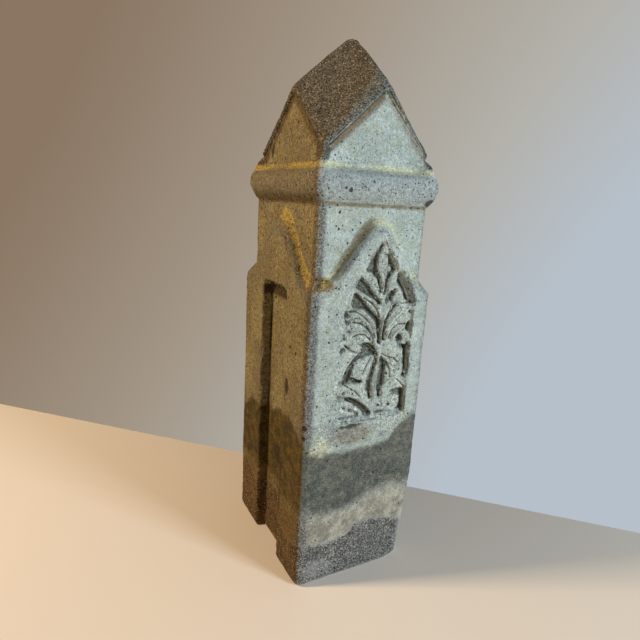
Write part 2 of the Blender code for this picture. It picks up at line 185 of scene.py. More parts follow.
# Carving of the foliage: the rims, veins and cups cut in the leaves of the front panel. Each stroke
# is (points, half width, lift), in millimetres: x from the middle of the face, z above the foot,
# and a negative lift for a groove.
LEAF_STROKES = {
    "left_ground_edge": ([(4, 360), (-2, 352), (-8, 343), (-9.5, 337)], 3.0, -5.0),
    "bud_left": ([(3, 330), (5, 322), (7, 314)], 1.9, -4.0),
    "bud_rim": ([(8.5, 356), (10.5, 345), (10.5, 332), (9.5, 320)], 1.6, 0.9),
    "bud_right_slot": ([(12.5, 325), (13.5, 318), (12, 312)], 2.2, -4.0),
    "left_lobe_1_rim": ([(-12, 332), (-6, 331), (-1, 327), (3, 319), (6, 311)], 1.7, 0.8),
    "left_lobe_1_hollow": ([(-17.5, 326), (-14.5, 320)], 4.2, -5.0),
    "left_lobe_1_under": ([(-14, 319), (-6, 313), (1, 309), (7, 303)], 2.6, -4.0),
    "left_lobe_2_rim": ([(-20, 317.5), (-12, 312.5), (-4, 308), (2, 303), (6, 298)], 1.5, 1.3),
    "left_lobe_2_fold": ([(-12, 309), (-3, 303.5), (4, 296.5), (8, 289)], 1.6, -1.7),
    "left_lobe_2_ground": ([(-21.5, 311), (-19, 306), (-12, 303)], 3.6, -5.0),
    "left_leaf_3_side": ([(-12, 301), (-4, 294), (3, 287), (7, 280), (9.5, 272), (10, 262)], 2.3, -4.5),
    "left_leaf_3_rim": ([(-32, 300.5), (-20, 300), (-12, 296), (-5, 289.5), (1, 283), (4.5, 275), (7, 266)],
                        1.5, 0.9),
    "left_leaf_3_inside": ([(-30, 296), (-20, 295.5), (-12, 291), (-4, 284), (1, 276), (4, 268)], 2.0, -1.4),
    "left_leaf_3_fold": ([(-25, 289), (-17, 289), (-10, 285), (-6, 280)], 1.8, 1.0),
    "left_leaf_3_crease": ([(-23, 285), (-14, 283.5), (-8, 279), (-3, 273)], 1.8, -1.6),
    "curled_rim": ([(-25, 273), (-19, 276), (-11, 277), (-4, 274), (0, 269), (1.5, 263)], 2.0, 1.4),
    "curl_undercut": ([(-7, 281), (-3, 275.5), (1.5, 269), (3, 263)], 1.7, -2.6),
    "curl_inside": ([(-22, 270), (-15, 272.5), (-8, 271.5), (-3, 267)], 1.8, -1.5),
    "curl_vein_1": ([(-27, 262), (-21, 269)], 1.2, 0.8),
    "curl_vein_2": ([(-19, 261), (-15, 269)], 1.2, 0.8),
    "curl_vein_3": ([(-11, 264), (-9, 270)], 1.2, 0.8),
    "wing_crease": ([(-31, 263), (-24, 257), (-17, 254)], 1.8, -1.3),
    "crescent": ([(-8, 261), (-2, 260.5), (3, 257), (7.5, 249)], 3.0, -4.5),
    "left_leaf_4_groove": ([(-11, 251.5), (-19, 244.5), (-24, 237), (-27, 229)], 3.4, -3.0),
    "left_leaf_4_rim": ([(-19, 232), (-16, 241), (-9, 249.5), (-3, 252.5), (3, 249), (6, 243)], 1.7, 0.9),
    "left_leaf_4_fold": ([(1, 246), (-4, 238), (-7, 230)], 2.2, -1.3),
    "left_leaf_4_slot": ([(-20, 226), (-8, 222)], 2.2, -4.5),
    "stem_left": ([(8.5, 243), (6.5, 238), (5, 230), (3, 226), (1.2, 220), (2, 212), (4.5, 203)], 2.2, -4.5),
    "stem_right": ([(14, 229), (17, 220), (15.5, 211), (15.5, 204)], 2.7, -4.5),
    "stem_ridge_low": ([(14, 241), (11.5, 228), (9, 220), (8.5, 210), (9, 201)], 1.5, 1.1),
    "stem_ridge_high": ([(10.5, 262), (11, 272), (12, 285), (12, 303)], 1.4, 0.9),
    "left_leaf_5_line": ([(-29, 222), (-22, 217), (-15, 213), (-8, 206)], 1.5, -1.5),
    "left_leaf_5_ring": (
        [(-23, 216), (-20, 218.5), (-17, 215), (-19, 211), (-22.5, 211.5), (-23, 216)], 1.3, 0.7
    ),
    "left_leaf_5_rim": ([(-25, 208.5), (-15, 206.5), (-7, 202), (0, 195.5), (5, 190)], 1.6, 0.9),
    "lower_crescent": ([(-24, 205), (-16, 202), (-8, 196.5), (-1, 190), (3, 186)], 2.8, -4.0),
    "left_foot_line": ([(-30, 184), (-18, 183), (-4, 184)], 3.4, -1.1),
    "left_foot_fold": ([(-27, 196), (-19, 193), (-10, 188)], 3.2, -1.2),
    "right_foot_line": ([(12, 184.5), (20, 186), (35, 184), (50, 183)], 1.6, -0.9),
    "left_border_high": ([(-32, 298), (-31, 284), (-32, 270)], 3.6, -0.9),
    "left_border_low": ([(-32, 244), (-31, 226), (-33, 206)], 4.5, -0.6),
    "right_ground_edge": ([(28, 332), (33.5, 325), (38.5, 318), (42, 310), (45.5, 303)], 3.8, -5.0),
    "lobe_eye": ([(24, 316.5), (19.5, 310.5), (21, 305)], 1.8, -4.0),
    "right_leaf_3_top": ([(22, 299), (29, 302), (38, 301.5), (45, 302)], 1.5, -2.2),
    "right_leaf_3_side": ([(27, 300), (20.5, 292.5), (16, 283), (14.5, 273), (15, 265)], 2.3, -3.5),
    "right_leaf_3_vein": ([(19, 279), (25, 288), (33, 295)], 1.6, 0.8),
    "right_leaf_3_crease": ([(22, 277), (28, 285), (36, 291)], 1.4, -1.0),
    "hook_rim": ([(24, 263), (26, 270), (31, 275), (38, 275), (43.5, 270), (44.5, 263), (41, 257)], 1.8, 1.0),
    "hook_groove": ([(21, 266), (25, 275.5), (32, 280), (41, 279.5)], 1.8, -2.0),
    "right_leaf_5_rim": ([(39, 260), (40, 252), (39, 243), (35, 232), (31, 225)], 1.8, 1.0),
    "right_leaf_5_fold": ([(16, 259), (23, 255), (31, 253), (37, 249)], 1.8, 0.8),
    "right_leaf_5_crease": ([(15, 250), (22, 246), (30, 244), (35, 239)], 1.7, -1.4),
    "right_leaf_5_low": ([(21, 240), (26, 232), (27, 224)], 1.8, -1.3),
    "right_border": ([(44.5, 259), (44.5, 250), (46, 238), (46.5, 226)], 2.5, -4.5),
    "right_wing_rim": ([(20, 215), (27, 221), (36, 221.5)], 1.8, 0.9),
    "right_wing_line": ([(35, 221), (41, 216), (46, 211)], 1.3, -1.7),
    "right_wing_under": ([(30, 207), (37, 208.5), (43, 205), (46, 202)], 2.0, -3.5),
    "right_foot_rim": ([(21, 203), (27, 207), (33, 206)], 1.5, 0.8),
    "right_foot_side": ([(45, 201), (46.5, 191), (45, 184)], 2.4, -3.5),
}
# Small cups: (x, z, radius, depth), and a negative depth for a lump
LEAF_CUPS = {
    "ground_lump": (16, 336.5, 4.5, -3.0),
    "leaf_3_pit_1": (-30, 292, 4.4, 3.2),
    "leaf_3_pit_2": (-28.5, 285, 4.0, 2.2),
    "leaf_3_pit_3": (-27, 276, 4.2, 2.0),
    "leaf_3_pit_4": (-31, 268, 4.0, 1.8),
    "leaf_5_hole": (-28, 212, 3.2, 2.6),
    "crescent_foot": (2, 186, 5.5, 6.0),
    "right_notch_high": (45, 293, 3.0, 3.0),
    "right_notch_low": (46, 280, 4.0, 5.0),
    "hook_eye": (34, 266, 4.8, 4.0),
    "stem_shade": (17.5, 235, 3.6, 1.8),
    "leaf_5_pit_1": (22, 250, 2.2, 1.5),
    "leaf_5_pit_2": (33, 247, 2.2, 1.5),
    "leaf_5_pit_3": (31, 236, 2.2, 1.4),
    "leaf_5_pit_4": (22, 228, 2.4, 1.6),
    "lobe_pit_1": (28, 311, 2.2, 1.4),
    "lobe_pit_2": (33, 305, 2.2, 1.3),
    "foot_pit_1": (18, 197, 2.4, 1.6),
    "foot_pit_2": (27, 194, 2.8, 1.6),
    "foot_pit_3": (36, 197, 2.4, 1.6),
    "apron_pit_1": (-27, 196, 2.6, 1.4),
    "apron_pit_2": (-19, 193, 2.4, 1.4),
}
# The strokes were drawn as seen on the block's face, from the left and above. What lies deeper is
# further right and lower by about this much.
CARVING_SHIFT = (2.0, -0.8)
STROKE_STRENGTH = 1.45
# Before the strokes the leaves are rounded off, and let in a little away from the panel's edges
LEAF_SINKING = 1.9
SINKING_PASSES = 16
LEAF_ROUNDING = 0.62
LEAF_ROUNDING_PASSES = 20
PANEL_MIDDLE = 7.0
PANEL_HALF_WIDTH = 42.0
PANEL_FOOT = 180.0
PANEL_SPRING = 285.0
PANEL_POINT = 368.0
PANEL_ARCH_RADIUS = 62.0
PANEL_HAUNCH_RISE = 45.0
# How far behind the face a place may lie and still count as the panel's, or be carved
PANEL_REACH = 12.0
CARVING_REACH = 9.0
# A groove stops a little below the panel's floor, and a rim close to the block's face
GROOVE_LIMIT = 8.2
RIM_LIMIT = 0.2


def within_panel(places):
    """1 inside the pointed panel of the front face and 0 outside it."""
    across = np.abs(places[:, 0] - PANEL_MIDDLE)
    up = np.clip(places[:, 2] - PANEL_SPRING, 0.0, PANEL_HAUNCH_RISE)
    arch = np.sqrt(PANEL_ARCH_RADIUS ** 2 - up ** 2) - PANEL_ARCH_RADIUS + PANEL_HALF_WIDTH
    haunch_top = PANEL_SPRING + PANEL_HAUNCH_RISE
    narrowing = np.clip((PANEL_POINT - places[:, 2]) / (PANEL_POINT - haunch_top), 0.0, 1.0)
    near_face = places[:, 1] < -HALF_DEPTH + PANEL_REACH
    in_height = (places[:, 2] > PANEL_FOOT - 2.0) & (places[:, 2] < PANEL_POINT)
    return near_face & in_height & (across < arch * narrowing + 1.0)


def away_from_line(flat, points):
    """Each place's distance to a line of points in the face's plane."""
    nearest = np.full(len(flat), 1e9)
    for start, end in zip(np.array(points[:-1], float), np.array(points[1:], float)):
        run = end - start
        along = np.clip((flat - start) @ run / (run @ run), 0.0, 1.0)
        nearest = np.minimum(nearest, np.linalg.norm(flat - start - along[:, None] * run, axis=1))
    return nearest


places = read_places(casting.data)
normals = read_normals(casting.data)
in_panel = np.flatnonzero(
    (places[:, 1] < -HALF_DEPTH + CARVING_REACH)
    & (normals[:, 1] < -0.25)
    & (np.abs(places[:, 0] - PANEL_MIDDLE) < PANEL_HALF_WIDTH)
    & (places[:, 2] > PANEL_FOOT)
    & (places[:, 2] < PANEL_POINT)
)
rounded = neighbours_mean(casting.data, places, LEAF_ROUNDING_PASSES)
places[in_panel] += LEAF_ROUNDING * (rounded[in_panel] - places[in_panel])
panel_flat = places[in_panel][:, [0, 2]] - np.array(CARVING_SHIFT)
panel_depth = places[in_panel, 1] + HALF_DEPTH
sinking = neighbours_mean(casting.data, within_panel(places)[:, None].astype(float), SINKING_PASSES)
leaf_lift = -LEAF_SINKING * ramp(sinking[in_panel, 0], 0.52, 1.0)
for points, half_width, lift in LEAF_STROKES.values():
    share = np.clip(away_from_line(panel_flat, points) / half_width, 0.0, 1.0)
    leaf_lift += STROKE_STRENGTH * lift * (1.0 - share * share) ** 2
for x, z, radius, depth in LEAF_CUPS.values():
    share = np.clip(np.hypot(panel_flat[:, 0] - x, panel_flat[:, 1] - z) / radius, 0.0, 1.0)
    leaf_lift -= depth * (1.0 - share * share) ** 2
lowest_lift = np.minimum(panel_depth - GROOVE_LIMIT, 0.0)
highest_lift = np.maximum(panel_depth + RIM_LIMIT, 0.0)
leaf_lift = np.clip(leaf_lift, lowest_lift, highest_lift)
places[in_panel, 1] -= leaf_lift
write_places(casting.data, places)


# Wear of the casting: arrises rubbed and chipped, skin lost over the sand at the foot, on the roof
# and along the arrises, creases under the roof's verges, and faces never quite flat.
FACE_UNEVENNESS = 0.35
CHIP_DEPTH = 2.3
SAND_DEPTH = 0.38
CREASE_DEPTH = 1.4
# The neighbours are averaged so many times over, and the more often, the wider the patch
EDGE_PASSES = 50
# Stations round the block and the height there, in millimetres
GRAVEL_LINE = [(0.0, 49), (0.23, 45), (0.41, 49), (0.47, 58), (0.61, 62), (0.92, 50), (1.3, 44),
               (1.8, 54), (2.4, 46), (2.9, 52), (3.1, 74), (3.3, 62), (3.5, 66), (3.8, 44), (4.0, 49)]


def along_line(line, stations):
    return np.interp(stations, [station for station, _ in line], [value for _, value in line])


places = read_places(casting.data)
normals = read_normals(casting.data)
stations = stations_of(places)
height = places[:, 2]
edge = ramp(standing_out(casting.data, EDGE_PASSES), 0.3, 1.3)
over_gable = above_gable(places, stations)
on_roof = ramp(over_gable, 4.0, 9.0)
on_foliage = within_panel(places).astype(float)
gravel = ramp(height - along_line(GRAVEL_LINE, stations), 6.0, -6.0)
bare = np.maximum(np.maximum(on_roof, gravel), np.maximum(edge, ramp(from_arris(stations), 12.0, 5.0)) * 0.7)
coarse = 0.6 * lattice_noise(places, 2.6, 11) + 0.4 * lattice_noise(places, 5.5, 12)
unevenness = 0.7 * lattice_noise(places, 42.0, 13) + 0.3 * lattice_noise(places, 15.0, 14)
chips = np.clip(lattice_noise(places, 9.0, 15) + 0.6 * lattice_noise(places, 4.5, 16), 0.0, 1.0)
crease = np.exp(-((over_gable + 0.5) / 2.2) ** 2) * ramp(height, GABLE_VALLEY - 2.0, GABLE_VALLEY + 4.0)
lift = FACE_UNEVENNESS * unevenness + (0.10 + SAND_DEPTH * np.maximum(bare, 0.3 * on_foliage)) * coarse
lift -= CHIP_DEPTH * edge * (1.0 - 0.7 * on_foliage) * chips ** 1.5
lift -= CREASE_DEPTH * crease
standing = ramp(height, 0.2, 3.0)
places += normals * (lift * standing)[:, None]
places[:, 2] = np.maximum(places[:, 2], 0.0)
write_places(casting.data, places)

CASTING_TRIANGLES = 196000
casting.data.calc_loop_triangles()
lighter = casting.modifiers.new("lighter", "DECIMATE")
lighter.ratio = CASTING_TRIANGLES / len(casting.data.loop_triangles)
bpy.ops.object.modifier_apply(modifier=lighter.name)
bpy.ops.object.shade_smooth()
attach(casting, "root")
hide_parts("pier_finial")


# Weathering of the casting, with its painted shade and highlights: where each stain, lichen, worn patch,
# painted shade and painted highlight lies, kept with the mesh as shares from 0 to 1. The material breaks
# their edges up.
DAMP_TOP_LINE = [(0.0, 164), (0.05, 160), (0.2, 150), (0.35, 149), (0.5, 149), (0.73, 153), (0.85, 173),
                 (0.95, 178), (1.2, 176), (1.6, 160), (2.0, 152), (2.4, 144), (2.7, 150), (3.0, 142),
                 (3.1, 150), (3.2, 164), (3.4, 160), (3.6, 172), (3.8, 182), (3.9, 172), (4.0, 164)]
DAMP_FOOT_LINE = [(0.0, 84), (0.22, 78), (0.4, 80), (0.58, 92), (0.78, 96), (0.95, 93), (1.4, 78),
                  (2.0, 84), (2.5, 76), (3.0, 84), (3.4, 76), (3.8, 82), (4.0, 84)]
GOLD_LINE = [(0.0, 0.45), (0.02, 0.1), (0.05, 0.0), (0.97, 0.0), (1.05, 0.2), (1.5, 0.35), (2.0, 0.5),
             (2.5, 0.4), (2.97, 0.7), (3.03, 1.0), (3.97, 1.0), (4.0, 0.45)]
LEDGE_LICHEN_LINE = [(0.0, 1.0), (0.14, 0.9), (0.24, 0.2), (0.42, 0.2), (0.5, 0.75), (0.62, 0.8),
                     (0.8, 0.45), (1.0, 0.8), (1.3, 0.3), (1.5, 0.8), (2.0, 0.9), (2.4, 0.5), (3.0, 0.6),
                     (3.3, 0.35), (3.46, 0.4), (3.52, 0.7), (3.6, 0.85), (3.75, 0.7), (3.9, 1.0), (4.0, 1.0)]
LEDGE_SOIL_LINE = [(0.0, 0.0), (0.12, 0.3), (0.2, 0.85), (0.42, 0.9), (0.5, 0.35), (0.56, 0.0), (0.85, 0.3),
                   (1.2, 0.6), (1.45, 0.3), (1.7, 0.4), (2.2, 0.5), (2.7, 0.6), (3.2, 0.6), (3.45, 0.5),
                   (3.52, 0.0), (3.7, 0.3), (3.85, 0.2), (4.0, 0.0)]

# Dark olive blots, and one painted shade: the face, the place along it, the height, and half the width and
# height
BLOTS = (
    ("left", -43.0, 210.0, 4.5, 9.0),
    ("left", -41.0, 197.0, 2.0, 3.0),
    ("left", 46.0, 447.0, 3.5, 9.0),
    ("left", -34.0, 74.0, 3.0, 16.0),
    ("left", -36.0, 112.0, 3.0, 12.0),
    ("left", -2.0, 112.0, 9.0, 12.0),
    # Painted shade under the right end of the band
    ("front", 60.0, 400.5, 6.5, 3.6),
    ("front", -18.0, 176.5, 15.0, 2.6),
)

# Parts of the foliage where the skin is gone and pits show: x, z, and half the width and height
PITTED_PATCHES = (
    (-20.0, 192.0, 17.0, 8.0),
    (-21.0, 287.0, 12.0, 11.0),
    (-16.0, 258.0, 14.0, 9.0),
    (29.0, 240.0, 13.0, 17.0),
    (30.0, 196.0, 15.0, 8.0),
)

# Single patches of the front face: x, z, and half the width and height
CHALK_PATCH = (-46.0, 18.0, 24.0, 12.0)
GOLD_PATCH = (-60.0, 322.0, 18.0, 9.0)
LICHEN_PATCH = (-50.0, 157.0, 18.0, 13.0)
TAN_PATCH = (-14.0, 166.0, 28.0, 12.0)

# The crease over the band, and what lies behind the left face and counts as its slot
BAND_CREASE_HEIGHT = 428.5
BAND_LICHEN_HEIGHT = 429.3
SLOT_OUTER_X = -69.0
SLOT_HALF_WIDTH = 31.5
# How often the neighbours are averaged for each of these patches
CLOSE_PASSES = 16
RIM_PASSES = 5
INSIDE_PASSES = 10


def in_patch(along, height, patch, outer=1.4, inner=0.6):
    """1 in the middle of an oval patch and 0 outside it, with a soft edge."""
    across, up, half_width, half_height = patch
    return ramp(np.hypot((along - across) / half_width, (height - up) / half_height), outer, inner)


def keep_share(name, shares):
    layer = casting.data.attributes.new(name, "FLOAT", "POINT")
    layer.data.foreach_set("value", np.clip(shares, 0.0, 1.0).astype(np.float32))


places = read_places(casting.data)
stations = stations_of(places)
height = places[:, 2]
standing_close = standing_out(casting.data, CLOSE_PASSES)
edge = ramp(standing_close, 0.35, 1.1)
hollow = ramp(standing_close, -0.3, -1.3)
over_gable = above_gable(places, stations)
over_shoulder = above_shoulder(places, stations)
damp_top = along_line(DAMP_TOP_LINE, stations)
damp_foot = along_line(DAMP_FOOT_LINE, stations)
gravel_top = along_line(GRAVEL_LINE, stations)
on_panel = within_panel(places)
sunk = np.where(on_panel, ramp(places[:, 1] + HALF_DEPTH, 2.6, 5.8), 0.0)
band_crease = ramp(np.abs(height - BAND_CREASE_HEIGHT), 5.5, 1.2)
on_front = stations < 1.0
left_face = (stations > 3.0) & (stations < 4.0)
left_face_soft = ramp(stations, 3.0, 3.1) * ramp(stations, 4.0, 3.95)
behind_left_face = (places[:, 0] > SLOT_OUTER_X) & (places[:, 0] < 0.0)
in_left_slot = behind_left_face & (np.abs(places[:, 1]) < SLOT_HALF_WIDTH)
# A painted shadow under the top of the left slot
slot_top_shadow = in_left_slot * ramp(height, 289.0, 298.0) * (height < 305.0)
arris_strip = ramp(from_arris(stations), 15.0, 4.0) * np.maximum(ramp(height, 410.0, 390.0), 0.45)
near_arris = np.where((stations > 3.5) | (stations < 0.5), 1.0, 0.55)

damp_here = ramp(height - damp_top, 8.0, -8.0) * ramp(height - damp_foot, -20.0, 20.0)
keep_share("damp", damp_here)
keep_share("buff", ramp(height - damp_foot, 20.0, -20.0) * ramp(height - gravel_top, -9.0, 9.0))
keep_share("gravel", ramp(height - gravel_top, 9.0, -9.0))
grit_width = np.where(left_face, 26.0, 14.0)
corner_grit = ramp(from_arris(stations) / grit_width, 1.0, 0.4) * ramp(height, 427.0, 436.0)
keep_share("roof", np.maximum(ramp(over_gable, -0.5, 3.0), corner_grit * 0.9))
verge_width = (7.0 + 15.0 * peak_share(stations)) * (1.0 - left_face_soft)
keep_share("verge", ramp(over_gable - verge_width, 5.0, -5.0))
keep_share("worn", np.maximum(edge * 0.8, arris_strip * near_arris) * (1.0 - 0.75 * damp_here))
chalk_edge = ramp(stations, 0.82, 0.98) * (stations < 1.03) * ramp(height, 80.0, 46.0)
chalk_foot = in_patch(places[:, 0], height, CHALK_PATCH, inner=0.5) * on_front
chalk_foot = np.maximum(chalk_foot * 0.42, ramp(height, 7.0, 1.0) * 0.7)
keep_share("chalk", np.maximum(chalk_edge, chalk_foot))
blots = np.zeros(len(places))
for face, *patch in BLOTS:
    along = places[:, 1] if face == "left" else places[:, 0]
    here = left_face if face == "left" else on_front
    blots = np.maximum(blots, in_patch(along, height, patch) * here)
inside = neighbours_mean(casting.data, on_panel[:, None].astype(float), INSIDE_PASSES)[:, 0]
well_inside = ramp(inside, 0.55, 0.9)
# The hollows get dirt and painted shade: the cavities, the panel's deep parts, the crease under the verges,
# the blots and the painted shadow under the left slot's top
hollow = np.where(on_panel, hollow * 0.95 * well_inside, hollow * (1.0 - band_crease))
hollow = np.maximum(hollow, sunk * 0.66)
above_valley = ramp(height, GABLE_VALLEY, GABLE_VALLEY + 6.0)
# Dirt and painted shade in the crease under the roof's verges
crease_dirt_and_shade = np.exp(-((over_gable + 0.4) / 1.3) ** 2) * above_valley * 0.8
hollow = np.maximum(np.maximum(hollow, crease_dirt_and_shade), np.maximum(blots, slot_top_shadow * 0.95))
keep_share("hollow", hollow)
# Painted highlights on the raised rims of the leaves
keep_share("rim_highlight", np.where(on_panel, ramp(standing_out(casting.data, RIM_PASSES), 0.06, 0.35), 0.0))
under_panel = ramp(height, 150.0, 160.0) * ramp(height, 186.0, 180.0) * on_front
near_panel = ramp(np.abs(places[:, 0] - PANEL_MIDDLE), 66.0, 44.0) * ramp(height, 340.0, 300.0)
near_panel *= ramp(height, 176.0, 184.0) * (places[:, 0] < PANEL_MIDDLE) * on_front
pits = on_panel * 0.45
for patch in PITTED_PATCHES:
    pits = np.maximum(pits, in_patch(places[:, 0], height, patch) * on_panel)
keep_share("pitted", np.maximum(np.maximum(pits, under_panel), near_panel * 0.45))
valley_gold = in_patch(places[:, 0], height, GOLD_PATCH, outer=1.3, inner=0.4) * on_front
keep_share("gold", np.maximum(along_line(GOLD_LINE, stations), valley_gold * 0.9))
band = ramp(height, 393.0, 399.0) * ramp(height, 428.0, 424.0)
worn_ridge = ramp(over_shoulder, -15.0, -8.0) * ramp(over_shoulder, 3.0, -3.0) * np.where(left_face, 0.9, 0.5)
keep_share("grey", np.maximum(band * 0.7, worn_ridge * ramp(height, 395.0, 380.0)))
ledge_reach = np.where(left_face, 21.0, 17.0)
on_ledge = ramp(over_shoulder, 0.0, 5.0) * ramp(over_shoulder, ledge_reach, 0.5 * ledge_reach)
streaks = ramp(lattice_noise(places, 15.0, 21), 0.1, 0.5) * above_valley
crease_lichen = np.exp(-((over_gable - 1.4) / 1.5) ** 2) * streaks * (stations < 1.0 + 3.0 * left_face)
band_patches = np.clip(0.9 + lattice_noise(places, 13.0, 22), 0.5, 1.0)
band_lichen = ramp(np.abs(height - BAND_LICHEN_HEIGHT), 4.8, 1.8) * band_patches
ledge_lichen = on_ledge * along_line(LEDGE_LICHEN_LINE, stations)
low_lichen = in_patch(places[:, 0], height, LICHEN_PATCH, inner=0.3) * on_front
ledge_lichen = np.maximum(ledge_lichen, 0.58 * low_lichen)
keep_share("lichen", np.maximum(np.maximum(band_lichen, crease_lichen), ledge_lichen))
verge_shade = np.where((stations > 0.52) & (stations < 1.0), 0.5, 1.0)
under_verge = ramp(over_gable, -14.0, -3.5) * ramp(over_gable, 2.0, 0.0) * verge_shade
under_panel_tan = in_patch(places[:, 0], height, TAN_PATCH, inner=0.4) * on_front
keep_share("tan", np.maximum(under_verge, under_panel_tan * 0.6))
# Painted shade on the band's underside, which faces down; it goes in with the ledge soil
under_band_shade = ramp(height, 391.0, 395.0) * ramp(height, np.where(left_face, 414.0, 398.5), 396.5)
ledge_soil = ramp(over_shoulder, -2.0, 4.0) * ramp(over_shoulder, 20.0, 11.0)
soil_and_shade = np.maximum(ledge_soil * along_line(LEDGE_SOIL_LINE, stations), under_band_shade * 0.75)
keep_share("soil_and_shade", soil_and_shade)


# The stone's material: a pale cement skin over sand and fine gravel, with air holes painted dark with their
# shade, yellow lichen on the ledges, a slate-coloured damp band, painted shade under the band, dirt and
# painted shade in the carving and other hollows, and painted highlights on the leaves' rims. Its patterns are
# in millimetres on the block itself.
stone = bpy.data.materials.new("weathered_cast_stone")
stone.use_nodes = True


def swatch(red, green, blue):
    """A colour as read off a colour card, 0 to 255, for a shader."""
    def linear(value):
        share = value / 255.0
        return share / 12.92 if share <= 0.04045 else ((share + 0.055) / 1.055) ** 2.4
    return (linear(red), linear(green), linear(blue), 1.0)


def feed(tree, socket, value):
    if isinstance(value, bpy.types.NodeSocket):
        tree.links.new(value, socket)
    elif value is not None:
        socket.default_value = value


def worked(tree, operation, first, second=None):
    """A sum, product or other result of two values."""
    made = tree.nodes.new("ShaderNodeMath")
    made.operation = operation
    feed(tree, made.inputs[0], first)
    feed(tree, made.inputs[1], second)
    return made.outputs[0]


def between(tree, value, low, high, least=0.0, most=1.0):
    """A smooth step from least, at low, to most, at high."""
    made = tree.nodes.new("ShaderNodeMapRange")
    made.interpolation_type = "SMOOTHSTEP"
    feed(tree, made.inputs["Value"], value)
    feed(tree, made.inputs["From Min"], low)
    feed(tree, made.inputs["From Max"], high)
    feed(tree, made.inputs["To Min"], least)
    feed(tree, made.inputs["To Max"], most)
    return made.outputs["Result"]


def tinted(tree, share, under, over, way="MIX"):
    """One colour laid over another, as much as share says."""
    made = tree.nodes.new("ShaderNodeMix")
    made.data_type = "RGBA"
    made.blend_type = way
    feed(tree, made.inputs["Factor"], share)
    feed(tree, made.inputs["A"], under)
    feed(tree, made.inputs["B"], over)
    return made.outputs["Result"]


def mottle(tree, place, size, detail=3.0, roughness=0.6, shift=0.0):
    """Noise round 0.5 whose patches are about size across, in millimetres."""
    moved = tree.nodes.new("ShaderNodeVectorMath")
    moved.operation = "ADD"
    feed(tree, moved.inputs[0], place)
    moved.inputs[1].default_value = (shift, shift * 0.7, -shift)
    made = tree.nodes.new("ShaderNodeTexNoise")
    made.inputs["Scale"].default_value = 1.0 / size
    made.inputs["Detail"].default_value = detail
    made.inputs["Roughness"].default_value = roughness
    tree.links.new(moved.outputs[0], made.inputs["Vector"])
    return made.outputs["Fac"]


def cells(tree, place, size):
    """Cells about size across: the distance from each one's middle, in millimetres, and two tones."""
    made = tree.nodes.new("ShaderNodeTexVoronoi")
    made.inputs["Scale"].default_value = 1.0 / size
    feed(tree, made.inputs["Vector"], place)
    away = worked(tree, "MULTIPLY", made.outputs["Distance"], size)
    tone = tree.nodes.new("ShaderNodeSeparateColor")
    tree.links.new(made.outputs["Color"], tone.inputs["Color"])
    return away, tone.outputs["Red"], tone.outputs["Green"]


def new_group(name, inputs, outputs):
    group = bpy.data.node_groups.new(name, "ShaderNodeTree")
    for socket_name, kind in inputs:
        group.interface.new_socket(socket_name, in_out="INPUT", socket_type=kind)
    for socket_name, kind in outputs:
        group.interface.new_socket(socket_name, in_out="OUTPUT", socket_type=kind)
    return group, group.nodes.new("NodeGroupInput"), group.nodes.new("NodeGroupOutput")


def place_group(tree, group, **values):
    made = tree.nodes.new("ShaderNodeGroup")
    made.node_tree = group
    for name, value in values.items():
        feed(tree, made.inputs[name], value)
    return made.outputs


# Air holes of three sizes: (spacing, largest radius, share of the places that have one)
HOLE_SIZES = ((8.0, 1.3, 0.36), (3.6, 0.95, 0.34), (1.8, 0.58, 0.24))
holes_group, holes_in, holes_out = new_group(
    "air_holes",
    [("Place", "NodeSocketVector"), ("Share", "NodeSocketFloat")],
    [("Mask", "NodeSocketFloat")],
)
hole_place = holes_in.outputs["Place"]
unround = worked(holes_group, "SUBTRACT", mottle(holes_group, hole_place, 1.3), 0.5)
hole_mask = 0.0
for hole_spacing, hole_radius, hole_chance in HOLE_SIZES:
    away, size_tone, chance_tone = cells(holes_group, hole_place, hole_spacing)
    away = worked(holes_group, "ADD", away, worked(holes_group, "MULTIPLY", unround, hole_radius))
    radius = worked(holes_group, "MULTIPLY", worked(holes_group, "POWER", size_tone, 0.9), hole_radius)
    chance = worked(holes_group, "MULTIPLY", holes_in.outputs["Share"], hole_chance)
    chosen = worked(holes_group, "LESS_THAN", chance_tone, chance)
    inside = between(holes_group, worked(holes_group, "SUBTRACT", away, radius), 0.2, -0.25)
    hole_mask = worked(holes_group, "MAXIMUM", worked(holes_group, "MULTIPLY", inside, chosen), hole_mask)
feed(holes_group, holes_out.inputs["Mask"], hole_mask)

# Sand and fine gravel laid bare: a colour for each grain and its rounded height
GRAIN_SIZE = 1.45
sand_group, sand_in, sand_out = new_group(
    "bare_sand",
    [("Place", "NodeSocketVector"), ("Dark", "NodeSocketColor"), ("Light", "NodeSocketColor"),
     ("Gap", "NodeSocketColor"), ("Glint", "NodeSocketColor")],
    [("Color", "NodeSocketColor"), ("Height", "NodeSocketFloat")],
)
grain_away, grain_tone, grain_chance = cells(sand_group, sand_in.outputs["Place"], GRAIN_SIZE)
grain_height = between(sand_group, grain_away, 1.1, 0.1)
patch_tone = mottle(sand_group, sand_in.outputs["Place"], 13.0, 4.0, 0.65, 7.0)
grain_share = worked(sand_group, "ADD", worked(sand_group, "MULTIPLY", grain_tone, 0.85),
                     between(sand_group, patch_tone, 0.35, 0.65, -0.1, 0.25))
grain_color = tinted(sand_group, grain_share, sand_in.outputs["Dark"], sand_in.outputs["Light"])
gap_share = between(sand_group, grain_away, 0.55, 0.95, 0.0, 0.85)
grain_color = tinted(sand_group, gap_share, grain_color, sand_in.outputs["Gap"])
glint_share = worked(sand_group, "MULTIPLY", worked(sand_group, "GREATER_THAN", grain_chance, 0.94), 0.5)
grain_color = tinted(sand_group, glint_share, grain_color, sand_in.outputs["Glint"])
feed(sand_group, sand_out.inputs["Color"], grain_color)
feed(sand_group, sand_out.inputs["Height"], grain_height)

